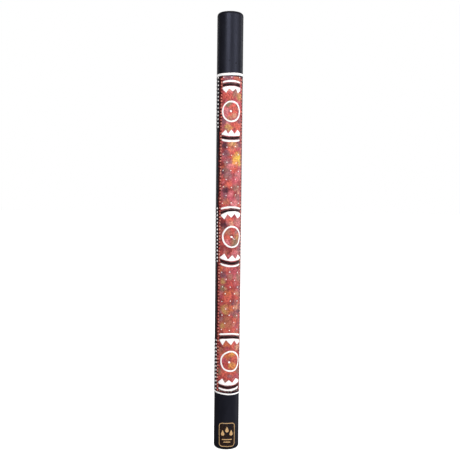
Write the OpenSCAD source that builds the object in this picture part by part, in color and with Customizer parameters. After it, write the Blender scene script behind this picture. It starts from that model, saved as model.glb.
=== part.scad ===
// Rainstick: a bamboo tube closed by two wooden plugs, with a spiral of pins
// across its bore and loose grains that trickle down between the pins when it
// is turned over. The outside is lacquered black and carries two painted
// panels, front and back, decorated with raised paint.
//
// It stands on its lower plug: z = 0 is the foot, +Z runs up the tube, and the
// front panel faces -Y. Angles are measured round the tube from -Y towards +X,
// and "across" is the distance along the curved surface.

/* [Tube] */
// Overall length, both plugs included
length = 1016; // [976:4:1056]
// Outer diameter of the upper grip
top_d = 60; // [59:0.5:62]
// Outer diameter of the lower grip
bottom_d = 58; // [57:0.5:60]
// Diameter of the bore
bore_d = 50; // [49:0.5:51]
// Height of the collar left where a bamboo joint was knocked through
collar_h = 2.2; // [1:0.1:2.4]
// Thickness of that collar along the tube
collar_w = 3; // [2:0.5:5]

/* [Plugs] */
// Thickness of the plug outside the tube
flange_h = 8; // [8:0.5:12]
// Radius of the rounded rim
rim_r = 7.5; // [3:0.5:7.5]
// Depth of the part glued into the bore
spigot_h = 16; // [10:1:24]

/* [Spiral of pins] */
// Diameter of a pin
pin_d = 2; // [1.6:0.1:2.2]
// Distance along the tube from one pin to the next
pin_step = 5.5; // [5:0.5:8]
// Pins in one turn of the spiral
pins_per_turn = 12; // [12]
// Direction of the first pin, in degrees
pin_start = -2.2; // [-15:0.1:15]
// Distance of the first and last pin from the ends
pin_margin = 113; // [100:1:130]

/* [Grains] */
// Diameter of the large pebbles
large_d = 5.2; // [4:0.1:5.2]
// Diameter of the medium pebbles
medium_d = 3.8; // [3:0.1:3.8]
// Diameter of the small seeds
small_d = 2.8; // [2:0.1:2.8]
// Height of the heap at rest
heap_h = 34; // [20:1:50]

/* [Painted bands] */
// Length of the black section above the upper white ring
top_section = 141; // [130:0.5:150]
// Length of the black section below the lower white ring
bottom_section = 129; // [120:0.5:140]
// Width of the upper white ring
upper_ring_w = 6; // [4:0.5:8]
// Width of the lower white ring
lower_ring_w = 5; // [4:0.5:8]

/* [Panels] */
// Direction of the middle of the front panel, in degrees
panel_centre = 13; // [-15:1:15]
// Half the angle that a panel covers, borders included
panel_half = 67.5; // [67:0.5:68]
// Angle covered by one dark red border
border_angle = 15; // [13.5:0.5:15.5]
// Distance between two beads of a border
bead_step = 7.2; // [6:0.1:9]
// Diameter of a border bead
bead_d = 4.8; // [3:0.1:5]

/* [Motifs] */
// Centre of the lowest motif above the lower ring
first_motif = 77; // [74:1:80]
// Centre of the highest motif below the upper ring
last_motif = 85; // [84:1:90]
// Outer radius of the white circle
circle_r = 24.5; // [20:0.1:24.5]
// Width of a brushed white line
line_w = 4.2; // [3:0.1:5]
// Half the length of an arc
arc_half = 24.5; // [20:0.1:24.5]
// Distance of the white arcs from the motif's centre
arc_z = 67.5; // [66:0.5:69]
// Distance of the dark arcs from the motif's centre
dark_z = 60.5; // [60:0.5:61]
// Distance of a toothed band's outer edge from the motif's centre
band_z = 56; // [55:0.5:56.5]
// Distance of the tooth tips from the motif's centre
tip_z = 41.5; // [38:0.5:44]

/* [Raised paint] */
// Thickness of the coloured coat of a panel
coat_t = 0.2; // [0.1:0.05:0.3]
// Height of the raised white paint
raised_t = 0.7; // [0.4:0.05:1]
// Diameter of the dots in the columns beside the panels
column_dot_d = 5; // [4:0.1:6]
// Diameter of the dots scattered over a panel
scatter_dot_d = 2.8; // [2:0.1:4]
// Diameter of the dot in the middle of a circle
centre_dot_d = 5; // [4:0.1:7]

/* [Hidden] */

$fn = 64;
black = [0.08, 0.08, 0.09];
white = [0.93, 0.92, 0.90];
wood = [0.72, 0.55, 0.34];
red = [0.75, 0.33, 0.28];
maroon = [0.28, 0.06, 0.06];
salmon = [0.76, 0.42, 0.37];
gold = [0.74, 0.60, 0.36];

top_r = top_d / 2;
bottom_r = bottom_d / 2;
bore_r = bore_d / 2;
pin_r = pin_d / 2;

// A hair's breadth between parts that touch without being one piece
gap = 0.02;
// Lacquer and filler that cover the outer end of each pin
cover_t = 0.4;
// Space around a pin in its hole, and between grains
pin_play = 0.05;
grain_play = 0.15;
// How far a pin's tip stays from the wall opposite
tip_gap = 4;
// Room that an angled tool needs to pass right through a wall
through = 2;

// The grips are plain cylinders and the painted part between them tapers
low_z = bottom_section - 2;
high_z = length - top_section + 2;

lower_ring_z = bottom_section + lower_ring_w / 2;
upper_ring_z = length - top_section - upper_ring_w / 2;
panel_z0 = bottom_section + lower_ring_w + 2;
panel_z1 = length - top_section - upper_ring_w - 2;

// Directions of the beads and of the dot columns, from a panel's middle
bead_angle = panel_half - 11;
column_angle = panel_half + 6.5;

// Heights of the three motifs, and how far each is turned from the middle
motif_z0 = lower_ring_z + first_motif;
motif_z2 = upper_ring_z - last_motif;
motif_z = [motif_z0, (motif_z0 + motif_z2) / 2, motif_z2];
motif_turn = [3, 3, -3.5];

floor_z = flange_h + spigot_h;
roof_z = length - floor_z;

// Radius of the outside of the tube at height z
function surface_r(z) =
  z <= low_z ? bottom_r :
  z >= high_z ? top_r :
  bottom_r + (top_r - bottom_r) * (z - low_z) / (high_z - low_z);

// Where a point s across and z along the surface lands on the flat plane that
// touches the tube, seen square on
function flat(s, z, r) = [r * sin(s / r * 180 / PI), z];

// Height of a curved line: h in the middle, falling by drop at its ends
function bow(s, h, drop) = h - drop * pow(s / arc_half, 2);

// ---------- shapes that follow the tube ----------

// Solid of revolution from z0 to z1, dr larger than the tube's outside
module core(dr, z0, z1) {
  translate([0, 0, z0])
    cylinder(h = z1 - z0, r1 = surface_r(z0) + dr, r2 = surface_r(z1) + dr, $fn = 96);
}

// Shell from z0 to z1, between two heights above the tube's outside
module shell(inner, outer, z0, z1) {
  difference() {
    core(outer, z0, z1);
    core(inner, z0 - 1, z1 + 1);
  }
}

// Part of a shell that starts at one angle and covers another
module patch(start, angle, inner, outer, z0, z1) {
  rotate([0, 0, start - 90])
    rotate_extrude(angle = angle, $fn = 96)
      polygon([
        [surface_r(z0) + inner, z0], [surface_r(z0) + outer, z0],
        [surface_r(z1) + outer, z1], [surface_r(z1) + inner, z1]
      ]);
}

// A flat drawing pressed onto the tube as raised paint. The drawing's origin
// lands at the angle turn and the height z; reach is half its height.
module brushed(turn, z, reach, inner, outer) {
  intersection() {
    shell(inner, outer, z - reach, z + reach);
    rotate([0, 0, turn])
      translate([0, 0, z])
        rotate([90, 0, 0])
          linear_extrude(height = top_r + 5)
            children();
  }
}

// Raised dot of paint: h high, on a round foot of diameter d
module dot(turn, z, d, h, base) {
  rotate([0, 0, turn])
    translate([0, -(surface_r(z) + base + gap), z])
      rotate([90, 0, 0])
        cylinder(h = h, d1 = d, d2 = 0.55 * d, $fn = 48);
}

// ---------- structure ----------

function pin_count() = floor((length - 2 * pin_margin) / pin_step) + 1;
function pin_z(i) = length - pin_margin - i * pin_step;
function pin_turn(i) = pin_start + i * 360 / pins_per_turn;

// Three bamboo joints, evenly spaced, lie between the plugs
module collars() {
  for (i = [1 : 3])
    translate([0, 0, floor_z + i * (roof_z - floor_z) / 4 - collar_w / 2])
      difference() {
        cylinder(h = collar_w, r = bore_r + 0.5, $fn = 96);
        translate([0, 0, -1])
          cylinder(h = collar_w + 2, r = bore_r - collar_h, $fn = 96);
      }
}

module pin_holes() {
  inner = bore_r - collar_h - through;
  for (i = [0 : pin_count() - 1])
    rotate([0, 0, pin_turn(i)])
      translate([0, -inner, pin_z(i)])
        rotate([90, 0, 0])
          cylinder(h = surface_r(pin_z(i)) - cover_t - inner, r = pin_r + pin_play, $fn = 24);
}

module bamboo_tube() {
  color(black)
    difference() {
      union() {
        difference() {
          union() {
            translate([0, 0, flange_h])
              cylinder(h = low_z - flange_h, r = bottom_r, $fn = 96);
            core(0, low_z, high_z);
            translate([0, 0, high_z])
              cylinder(h = length - flange_h - high_z, r = top_r, $fn = 96);
          }
          translate([0, 0, flange_h - 1])
            cylinder(h = length - 2 * flange_h + 2, r = bore_r, $fn = 96);
        }
        collars();
      }
      pin_holes();
    }
}

// Plug standing on its outer face, with its spigot up
module plug(r) {
  color(black)
    union() {
      cylinder(h = flange_h, r = r - rim_r, $fn = 96);
      translate([0, 0, rim_r])
        cylinder(h = flange_h - rim_r, r = r, $fn = 96);
      rotate_extrude($fn = 96)
        translate([r - rim_r, rim_r])
          intersection() {
            circle(r = rim_r, $fn = 48);
            translate([0, -rim_r])
              square(rim_r);
          }
      translate([0, 0, flange_h])
        cylinder(h = spigot_h, r = bore_r - gap, $fn = 96);
    }
}

module bottom_plug() {
  plug(bottom_r);
}

module top_plug() {
  translate([0, 0, length])
    rotate([180, 0, 0])
      plug(top_r);
}

// Each pin runs from under the lacquer, across the axis, almost to the far wall
module rattle_pins() {
  tip = bore_r - tip_gap;
  color(wood)
    for (i = [0 : pin_count() - 1])
      rotate([0, 0, pin_turn(i)])
        translate([0, tip, pin_z(i)])
          rotate([90, 0, 0])
            cylinder(h = tip + surface_r(pin_z(i)) - cover_t - pin_play, r = pin_r, $fn = 24);
}

// ---------- grains ----------

// Grains lie in the straight gaps between the pins, so that they can travel
// the whole tube. Each gap holds stacks of grains at a fixed distance from the
// axis; side moves a stack sideways within its gap.
module stack(gap_no, axis_distance, side, d) {
  turn = pin_start + (gap_no + 0.5) * 360 / pins_per_turn + asin(side / axis_distance);
  step = d + grain_play;
  lift = 0.4 * (1 + sin(137 * gap_no + 40 * side));
  for (k = [0 : floor(heap_h / step) - 1])
    rotate([0, 0, turn])
      translate([0, -axis_distance, floor_z + d / 2 + 0.2 + lift + k * step])
        sphere(r = d / 2 - 0.08 * (1 + sin(71 * k + 53 * gap_no)), $fn = 24);
}

// The outer stacks pass inside the collars, and the others inside those
medium_at = bore_r - collar_h - 0.7 - medium_d / 2;
large_at = medium_at - medium_d / 2 - 0.35 - large_d / 2;
small_at = large_at - large_d / 2 - 0.65 - small_d / 2;

module large_pebbles() {
  color([0.42, 0.40, 0.37])
    for (g = [0 : pins_per_turn - 1])
      stack(g, large_at, 0, large_d);
}

module medium_pebbles() {
  color([0.60, 0.56, 0.49])
    for (g = [0 : pins_per_turn - 1])
      for (side = [-1, 1])
        stack(g, medium_at, side * (medium_d + grain_play) / 2, medium_d);
}

module small_seeds() {
  color([0.45, 0.26, 0.12])
    for (g = [0 : pins_per_turn - 1])
      stack(g, small_at, 0, small_d);
}

// ---------- rings and panels ----------

module upper_ring() {
  color(white)
    shell(gap, raised_t, upper_ring_z - upper_ring_w / 2, upper_ring_z + upper_ring_w / 2);
}

module lower_ring() {
  color(white)
    shell(gap, raised_t, lower_ring_z - lower_ring_w / 2, lower_ring_z + lower_ring_w / 2);
}

module panel(middle) {
  half = panel_half - border_angle;
  color(red)
    patch(middle - half, 2 * half, gap, coat_t, panel_z0, panel_z1);
}

module borders(middle) {
  seam = 0.1;
  color(maroon)
    for (side = [-1, 1])
      patch(middle + side * (panel_half - border_angle / 2) - border_angle / 2 + seam,
            border_angle - 2 * seam, gap, coat_t, panel_z0, panel_z1);
}

module border_beads(middle) {
  count = floor((panel_z1 - panel_z0 - bead_d) / bead_step);
  color(salmon)
    for (side = [-1, 1])
      for (i = [0 : count])
        dot(middle + side * bead_angle, panel_z0 + bead_d + i * bead_step,
            bead_d, 0.5, coat_t);
}

// ---------- motifs ----------

// A brushed line that bows away from the motif's centre; up is 1 above the
// centre and -1 below it
module arc_line(r, h, drop, w, up) {
  steps = 12;
  outer = [for (i = [0 : steps])
    let (s = arc_half * (2 * i / steps - 1)) flat(s, up * (bow(s, h, drop) + w / 2), r)];
  inner = [for (i = [steps : -1 : 0])
    let (s = arc_half * (2 * i / steps - 1)) flat(s, up * (bow(s, h, drop) - w / 2), r)];
  polygon(concat(outer, inner));
}

// A bowed band whose inner edge is three teeth
module toothed_band(r, up) {
  steps = 12;
  drop = 4.5;
  tip = 0.55 * arc_half;
  valley = 0.285 * arc_half;
  valley_z = band_z - 5.5;
  outer = [for (i = [0 : steps])
    let (s = arc_half * (2 * i / steps - 1)) flat(s, up * bow(s, band_z, drop), r)];
  teeth = [
    flat(tip, up * tip_z, r), flat(valley, up * valley_z, r), flat(0, up * (tip_z + 1), r),
    flat(-valley, up * valley_z, r), flat(-tip, up * tip_z, r)
  ];
  polygon(concat(outer, teeth));
}

// A circle drawn on the curved surface, as a flat outline
module wrapped_disc(rr, r) {
  steps = 40;
  polygon([for (i = [0 : steps - 1])
    flat(rr * cos(i * 360 / steps), rr * sin(i * 360 / steps), r)]);
}

module motif_place(middle, i, reach) {
  brushed(middle + motif_turn[i], motif_z[i], reach, coat_t + gap, coat_t + raised_t)
    children();
}

module white_arcs(middle) {
  color(white)
    for (i = [0 : 2])
      for (up = [-1, 1])
        motif_place(middle, i, arc_z + line_w)
          arc_line(surface_r(motif_z[i]), arc_z, 4, line_w, up);
}

module dark_arcs(middle) {
  color(maroon)
    for (i = [0 : 2])
      for (up = [-1, 1])
        brushed(middle + motif_turn[i], motif_z[i], arc_z + line_w, coat_t + gap, coat_t + 0.3)
          arc_line(surface_r(motif_z[i]), dark_z, 4.2, 5.6, up);
}

module toothed_bands(middle) {
  color(white)
    for (i = [0 : 2])
      for (up = [-1, 1])
        motif_place(middle, i, arc_z)
          toothed_band(surface_r(motif_z[i]), up);
}

module circles(middle) {
  color(white)
    for (i = [0 : 2])
      motif_place(middle, i, circle_r + 1)
        difference() {
          wrapped_disc(circle_r, surface_r(motif_z[i]));
          wrapped_disc(circle_r - line_w, surface_r(motif_z[i]));
        }
}

module centre_dots(middle) {
  color(white)
    for (i = [0 : 2])
      dot(middle + motif_turn[i], motif_z[i], centre_dot_d, 0.9, coat_t);
}

// ---------- dots ----------

// A row of three dots, or of two that sit between them
module dot_row(middle, z, three) {
  lean = -2;
  offsets = three ? [-37, 0, 37] : [-20, 20];
  for (a = offsets)
    dot(middle + lean + a, z, scatter_dot_d, 0.6, coat_t);
}

// Rows of three and two dots in turn, filling the field between two heights
module dot_rows(middle, z_low, z_high, rows) {
  for (k = [0 : rows - 1])
    dot_row(middle, z_low + k * (z_high - z_low) / (rows - 1), k % 2 == 0);
}

module scatter_dots(middle) {
  clear = arc_z + line_w / 2 + 9;
  color(white) {
    dot_rows(middle, motif_z[0] + clear - 5, motif_z[1] - clear - 3, 9);
    dot_rows(middle, motif_z[1] + clear, motif_z[2] - clear - 2, 8);
    dot_row(middle, motif_z[2] + clear, true);
  }
}

// Columns of round dots on the black strip beside a panel, one beside each
// motif: offset of the column's middle from the motif, its length, its dots
columns = [[-9, 113, 14], [5, 122.5, 16], [22, 113, 14]];

module dot_column(turn) {
  for (i = [0 : 2])
    for (k = [0 : columns[i][2] - 1])
      dot(turn, motif_z[i] + columns[i][0] + columns[i][1] * (k / (columns[i][2] - 1) - 0.5),
          column_dot_d, raised_t, 0);
}

module left_column_dots() {
  color(white) {
    dot_column(panel_centre - column_angle);
    dot_column(panel_centre + 180 + column_angle);
  }
}

module right_column_dots() {
  color(white) {
    dot_column(panel_centre + column_angle);
    dot_column(panel_centre + 180 - column_angle);
  }
}

// ---------- label ----------

label_turn = 4;
label_w = 36;
label_h = 56;
label_z = 36;
label_t = 0.12;

module round_rect(w, h, r) {
  square([w - 2 * r, h], center = true);
  square([w, h - 2 * r], center = true);
  for (x = [-1, 1])
    for (y = [-1, 1])
      translate([x * (w / 2 - r), y * (h / 2 - r)])
        circle(r = r, $fn = 32);
}

// A falling drop: a round belly under a pointed top
module drop(r) {
  circle(r = r, $fn = 32);
  polygon([[-r * cos(25), r * sin(25)], [0, 2.4 * r], [r * cos(25), r * sin(25)]]);
}

module label_frame() {
  color(gold)
    brushed(label_turn, label_z, label_h / 2 + 1, gap, label_t)
      difference() {
        round_rect(label_w, label_h, 8);
        round_rect(label_w - 3.6, label_h - 3.6, 6.2);
      }
}

module label_drops() {
  color(gold)
    brushed(label_turn, label_z, label_h / 2 + 1, gap, label_t) {
      translate([-10, 2]) drop(4);
      translate([0, 10]) drop(4);
      translate([10, 2]) drop(4);
      translate([0, -11]) square([24, 2.2], center = true);
      translate([0, -17]) square([16, 2.2], center = true);
    }
}

module front_panel() { panel(panel_centre); }
module back_panel() { panel(panel_centre + 180); }
module front_borders() { borders(panel_centre); }
module back_borders() { borders(panel_centre + 180); }
module front_border_beads() { border_beads(panel_centre); }
module back_border_beads() { border_beads(panel_centre + 180); }
module front_white_arcs() { white_arcs(panel_centre); }
module back_white_arcs() { white_arcs(panel_centre + 180); }
module front_dark_arcs() { dark_arcs(panel_centre); }
module back_dark_arcs() { dark_arcs(panel_centre + 180); }
module front_toothed_bands() { toothed_bands(panel_centre); }
module back_toothed_bands() { toothed_bands(panel_centre + 180); }
module front_circles() { circles(panel_centre); }
module back_circles() { circles(panel_centre + 180); }
module front_centre_dots() { centre_dots(panel_centre); }
module back_centre_dots() { centre_dots(panel_centre + 180); }
module front_scatter_dots() { scatter_dots(panel_centre); }
module back_scatter_dots() { scatter_dots(panel_centre + 180); }

bamboo_tube();
top_plug();
bottom_plug();
rattle_pins();
large_pebbles();
medium_pebbles();
small_seeds();
upper_ring();
lower_ring();
front_panel();
back_panel();
front_borders();
back_borders();
front_border_beads();
back_border_beads();
front_white_arcs();
back_white_arcs();
front_dark_arcs();
back_dark_arcs();
front_toothed_bands();
back_toothed_bands();
front_circles();
back_circles();
front_centre_dots();
back_centre_dots();
front_scatter_dots();
back_scatter_dots();
left_column_dots();
right_column_dots();
label_frame();
label_drops();
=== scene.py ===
"""Looks of a painted bamboo rainstick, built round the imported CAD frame.

The stick stands on z = 0, and +Z runs up it. Angles are in degrees round the tube, from -Y towards +X, and
the front panel faces a little to the right of -Y. Lengths are in millimetres until make_piece() turns them
into metres. Heights of paint are measured outwards from the bare tube.
"""

import math

import bmesh
import bpy
import numpy as np
from mathutils import Matrix, Vector
from mathutils.geometry import delaunay_2d_cdt


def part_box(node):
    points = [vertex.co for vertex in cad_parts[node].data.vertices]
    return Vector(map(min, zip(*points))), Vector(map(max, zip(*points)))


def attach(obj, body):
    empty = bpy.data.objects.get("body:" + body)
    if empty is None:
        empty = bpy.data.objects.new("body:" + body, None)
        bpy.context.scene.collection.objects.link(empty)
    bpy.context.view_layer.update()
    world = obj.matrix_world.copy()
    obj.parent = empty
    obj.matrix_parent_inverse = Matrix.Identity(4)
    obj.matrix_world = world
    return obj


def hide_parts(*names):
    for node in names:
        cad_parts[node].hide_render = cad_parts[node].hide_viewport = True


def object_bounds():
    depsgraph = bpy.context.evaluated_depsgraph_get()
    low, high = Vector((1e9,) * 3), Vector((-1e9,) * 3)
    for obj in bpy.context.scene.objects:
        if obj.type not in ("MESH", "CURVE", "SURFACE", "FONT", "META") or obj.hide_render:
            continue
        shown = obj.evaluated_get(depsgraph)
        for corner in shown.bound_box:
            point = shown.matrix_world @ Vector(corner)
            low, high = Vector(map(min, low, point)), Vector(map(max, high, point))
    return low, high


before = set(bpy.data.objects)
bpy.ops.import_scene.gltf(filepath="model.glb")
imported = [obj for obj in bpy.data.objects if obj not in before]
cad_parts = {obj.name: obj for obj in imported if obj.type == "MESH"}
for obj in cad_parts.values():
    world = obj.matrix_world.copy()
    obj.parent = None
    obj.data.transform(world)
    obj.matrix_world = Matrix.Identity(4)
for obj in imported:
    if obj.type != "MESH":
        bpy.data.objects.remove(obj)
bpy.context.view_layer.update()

MM = 0.001


# ----- places, read from the frame -----

def corners(node):
    """Lowest and highest corner of a CAD node, in mm."""
    low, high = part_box(node)
    return np.array(low) / MM, np.array(high) / MM


def heights(node):
    """Lowest and highest z of a CAD node."""
    low, high = corners(node)
    return low[2], high[2]


def node_points(node):
    """Every vertex of a CAD node, in mm."""
    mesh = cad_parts[node].data
    flat = np.empty(len(mesh.vertices) * 3, np.float32)
    mesh.vertices.foreach_get("co", flat)
    return flat.reshape(-1, 3).astype(float) / MM


def direction(points):
    """Angle of each point round the tube."""
    points = np.asarray(points)
    return np.degrees(np.arctan2(points[..., 0], -points[..., 1]))


def solids(node):
    """Lowest and highest corner, in mm, of each separate solid of a CAD node, from the foot up."""
    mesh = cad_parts[node].data
    points = node_points(node)
    ends = np.empty(len(mesh.edges) * 2, np.int32)
    mesh.edges.foreach_get("vertices", ends)
    merged = np.unique(np.round(points * 1000).astype(int), axis=0, return_inverse=True)[1].ravel()
    one, two = merged[ends.reshape(-1, 2)].T
    label = np.arange(merged.max() + 1)
    while True:
        before = label.copy()
        lowest = np.minimum(label[one], label[two])
        np.minimum.at(label, one, lowest)
        np.minimum.at(label, two, lowest)
        label = label[label]
        if (label == before).all():
            break
    owner = label[merged]
    order = np.argsort(owner, kind="stable")
    starts = np.unique(owner[order], return_index=True)[1]
    lows = np.minimum.reduceat(points[order], starts)
    highs = np.maximum.reduceat(points[order], starts)
    rank = np.lexsort((lows[:, 0].round(1), lows[:, 2].round(1)))
    return [(lows[i], highs[i]) for i in rank]


def middle_of(solid):
    """Angle and height of the middle of a solid, or of a node, from its two corners."""
    centre = (solid[0] + solid[1]) / 2
    return float(direction(centre)), float(centre[2])


LENGTH = heights("top_plug")[1]
TOP_R = corners("top_plug")[1][0]
BOTTOM_R = corners("bottom_plug")[1][0]
MEAN_R = (TOP_R + BOTTOM_R) / 2
LOWER_RING, UPPER_RING, PANEL = (heights(node) for node in ("lower_ring", "upper_ring", "front_panel"))
PANEL_ANGLES = direction(node_points("front_panel"))
FRONT = float(PANEL_ANGLES.min() + PANEL_ANGLES.max()) / 2
BACK = FRONT + 180
PANEL_HALF = float(PANEL_ANGLES.max()) - FRONT
BORDER_END = float(direction(node_points("front_borders")).max()) - FRONT
MOTIFS = [middle_of(solid) for solid in solids("front_circles")]
# The grips are cylinders up to just past the white rings, and the tube tapers between them
TAPER = LOWER_RING[0] - 2, UPPER_RING[1] + 2

# Radius of the rounded rims, from the flat disc left on the foot
FOOT = node_points("bottom_plug")
FOOT = FOOT[FOOT[:, 2] < 0.01]
RIM_R = BOTTOM_R - float(np.hypot(FOOT[:, 0], FOOT[:, 1]).max())

# A panel was masked off by hand: it lies a little to the right of its place in the CAD, has its width at
# TRUE_Z, and gets wider below that by the share WIDER for every mm
LEAN = 1.3
TRUE_Z = 470
WIDER = 0.00024

# Heights of the layers above the bare tube
COAT = 0.25
SKIN = 0.35
RAISED = 0.7

# Widths of the brushed lines: white arcs, circles, dark arcs and the wash under those
LINE_W = 4.4
HOOP_W = 3.9
DARK_W = 5.2
WASH_W = 7.4
# How far from its edge thick white paint reaches its full height
WHITE_SOFT = 1.9

# Drops of paint: radius, height, how far the hand strays, and stretch up the tube
BEAD = 2.4, 0.5, 0.4, 1.15
SMALL_DOT = 1.3, 0.5, 1.4, 1.0
COLUMN_DOT = 2.3, 1.2, 0.3, 0.92


def widen(z):
    """Width of a panel at height z, as a share of its width in the CAD."""
    return 1 + WIDER * (TRUE_Z - z)


def surface_r(z):
    """Radius of the bare tube at height z."""
    return np.interp(z, TAPER, (BOTTOM_R, TOP_R))


def wrap(angle, z, height):
    """Points on the tube: angle round it, z up it, and height above its bare surface."""
    turn = np.radians(angle)
    r = surface_r(z) + height
    return np.stack([r * np.sin(turn), -r * np.cos(turn), z + 0 * r], axis=-1)


# ----- smooth noise -----

def noise(points, size, seed):
    """Smooth noise from -1 to 1 at each 3-D point, with features about size mm across."""
    table = np.random.default_rng(seed).uniform(-1, 1, (32, 32, 32))
    place = np.asarray(points, float) / size
    cell = np.floor(place).astype(int)
    part = place - cell
    part = part * part * (3 - 2 * part)
    total = 0
    for corner in np.ndindex(2, 2, 2):
        weight = 1
        for axis in range(3):
            weight = weight * (part[..., axis] if corner[axis] else 1 - part[..., axis])
        total = total + weight * table[tuple((cell[..., k] + corner[k]) % 32 for k in range(3))]
    return total


def noise_flat(flat, size, seed):
    """Smooth noise at each point of a flat drawing."""
    return noise(np.stack([flat[..., 0], flat[..., 1], 0 * flat[..., 0]], axis=-1), size, seed)


def xy(across, up):
    """Points of a flat drawing."""
    return np.stack([across, up], axis=-1)


def shake(flat, size, *seeds):
    """A smooth random shift, from -1 to 1 both ways, at each point of a flat drawing."""
    return xy(*(noise_flat(flat, size, seed) for seed in seeds))


# ----- parts: (points in mm, faces, depth of the paint at each point, from 0 at an edge to 1) -----

def grid_quads(index):
    """The four-sided faces of a grid of point numbers."""
    return np.stack([index[:-1, :-1], index[:-1, 1:], index[1:, 1:], index[1:, :-1]], -1).reshape(-1, 4)


def capped_faces(rows, turns):
    """Faces of rows of points that run round, where two more points close the first row and the last."""
    index = np.arange(rows * turns).reshape(rows, turns)
    index = np.hstack([index, index[:, :1]])
    first, last = rows * turns, rows * turns + 1
    faces = grid_quads(index).tolist()
    faces += [(b, a, first) for a, b in zip(index[0].tolist(), index[0, 1:].tolist())]
    return faces + [(a, b, last) for a, b in zip(index[-1].tolist(), index[-1, 1:].tolist())]


def sheet(angle, z, top, bottom, ring=False):
    """Closed sheet over a grid of places, from bottom to top above the tube; a ring joins its two ends."""
    count = z.size
    index = np.arange(count).reshape(z.shape)
    if ring:
        index = np.hstack([index, index[:, :1]])
        rims = [index[0], index[-1, ::-1]]
    else:
        rims = [index[0], index[:, -1], index[-1, ::-1], index[::-1, 0]]
    quads = grid_quads(index)
    walls = [np.stack([rim[1:], rim[:-1], rim[:-1] + count, rim[1:] + count], -1) for rim in rims]
    faces = np.vstack([quads, quads[:, ::-1] + count] + walls)
    points = np.vstack([wrap(angle, z, height).reshape(-1, 3) for height in (top, bottom)])
    return points, faces.tolist(), np.ones(len(points))


def dome(angle, z, radius, height, base, seed, tall=1.0):
    """A drop of thick paint with an uneven round foot; tall stretches it up the tube."""
    rng = np.random.default_rng(seed)
    spokes, rings = 16, 5
    turn = np.arange(spokes) * 2 * np.pi / spokes
    uneven = 1 + 0.07 * np.cos(2 * turn + rng.uniform(0, 6)) + 0.05 * np.cos(3 * turn + rng.uniform(0, 6))
    lean = rng.uniform(-0.12, 0.12, 2) * radius
    tilt = np.linspace(np.pi / 2, 0, rings, endpoint=False)
    out = np.sin(tilt)[:, None] * uneven * radius
    up = np.cos(tilt)[:, None] * height + 0 * out
    slide = np.cos(tilt)[:, None]
    across = np.append((out * np.cos(turn) + slide * lean[0]).ravel(), [0, lean[0]])
    along = np.append((out * np.sin(turn) + slide * lean[1]).ravel() * tall, [0, lean[1]])
    above = np.append(up.ravel(), [-0.06, height])
    points = wrap(angle + np.degrees(across / surface_r(z)), z + along, base + above)
    depth = np.append(np.repeat(np.cos(tilt), spokes), [0, 1])
    return points, capped_faces(rings, spokes), depth


def inside(points, loops):
    """Which points lie inside closed outlines, where an outline within another is a hole."""
    odd = np.zeros(len(points), bool)
    for loop in loops:
        ahead = np.roll(loop, -1, axis=0)
        for (x0, y0), (x1, y1) in zip(loop, ahead):
            if y0 == y1:
                continue
            crosses = (points[:, 1] < y0) != (points[:, 1] < y1)
            odd ^= crosses & (points[:, 0] < x0 + (points[:, 1] - y0) * (x1 - x0) / (y1 - y0))
    return odd


def edge_distance(points, loops):
    """Distance from each point to the nearest outline."""
    nearest = np.full(len(points), np.inf)
    for loop in loops:
        for a, b in zip(loop, np.roll(loop, -1, axis=0)):
            line = b - a
            share = np.clip(((points - a) @ line) / (line @ line), 0, 1)
            nearest = np.minimum(nearest, np.hypot(*(points - a - share[:, None] * line).T))
    return nearest


def raised(place, loops, height, soft, base=SKIN, rim=0.12, step=0.8, seed=0):
    """Thick paint inside flat outlines, pressed onto the tube.

    place is the angle and height of the drawing's origin; the paint is rim thick at an outline and swells to
    height at soft mm from it."""
    corner_points = np.vstack(loops)
    edges, first = [], 0
    for loop in loops:
        count = len(loop)
        edges += [(first + i, first + (i + 1) % count) for i in range(count)]
        first += count
    low, high = corner_points.min(0), corner_points.max(0)
    grid = np.stack(np.meshgrid(np.arange(low[0], high[0], step), np.arange(low[1], high[1], step)), -1)
    grid[1::2, :, 0] += step / 2
    grid = grid.reshape(-1, 2)
    grid = grid[inside(grid, loops)]
    grid = grid[edge_distance(grid, loops) > 0.5 * step]
    flat = [Vector(p) for p in np.vstack([corner_points, grid])]
    flat, _, triangles, _, _, _ = delaunay_2d_cdt(flat, edges, [], 0, 1e-6)
    flat, triangles = np.array([tuple(p) for p in flat]), np.array(triangles)
    triangles = triangles[inside(flat[triangles].mean(1), loops)]
    used, triangles = np.unique(triangles, return_inverse=True)
    flat, triangles = flat[used], triangles.reshape(-1, 3)

    share = np.clip(edge_distance(flat, loops) / soft, 0, 1)
    depth = np.sqrt(1 - (1 - share) ** 2)
    swell = rim + (height - rim) * depth + 0.05 * share * noise_flat(flat, 2.5, seed)
    turn, z0 = place
    z = z0 + flat[:, 1]
    angle = turn + np.degrees(flat[:, 0] / surface_r(z))
    points = np.vstack([wrap(angle, z, base + swell), wrap(angle, z, base + 0 * swell)])

    count = len(flat)
    sides = np.vstack([triangles[:, [0, 1]], triangles[:, [1, 2]], triangles[:, [2, 0]]])
    known = {tuple(side) for side in sides.tolist()}
    walls = [(b, a, a + count, b + count) for a, b in known if (b, a) not in known]
    faces = triangles.tolist() + (triangles[:, ::-1] + count).tolist() + walls
    return points, faces, np.append(depth, depth)


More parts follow.
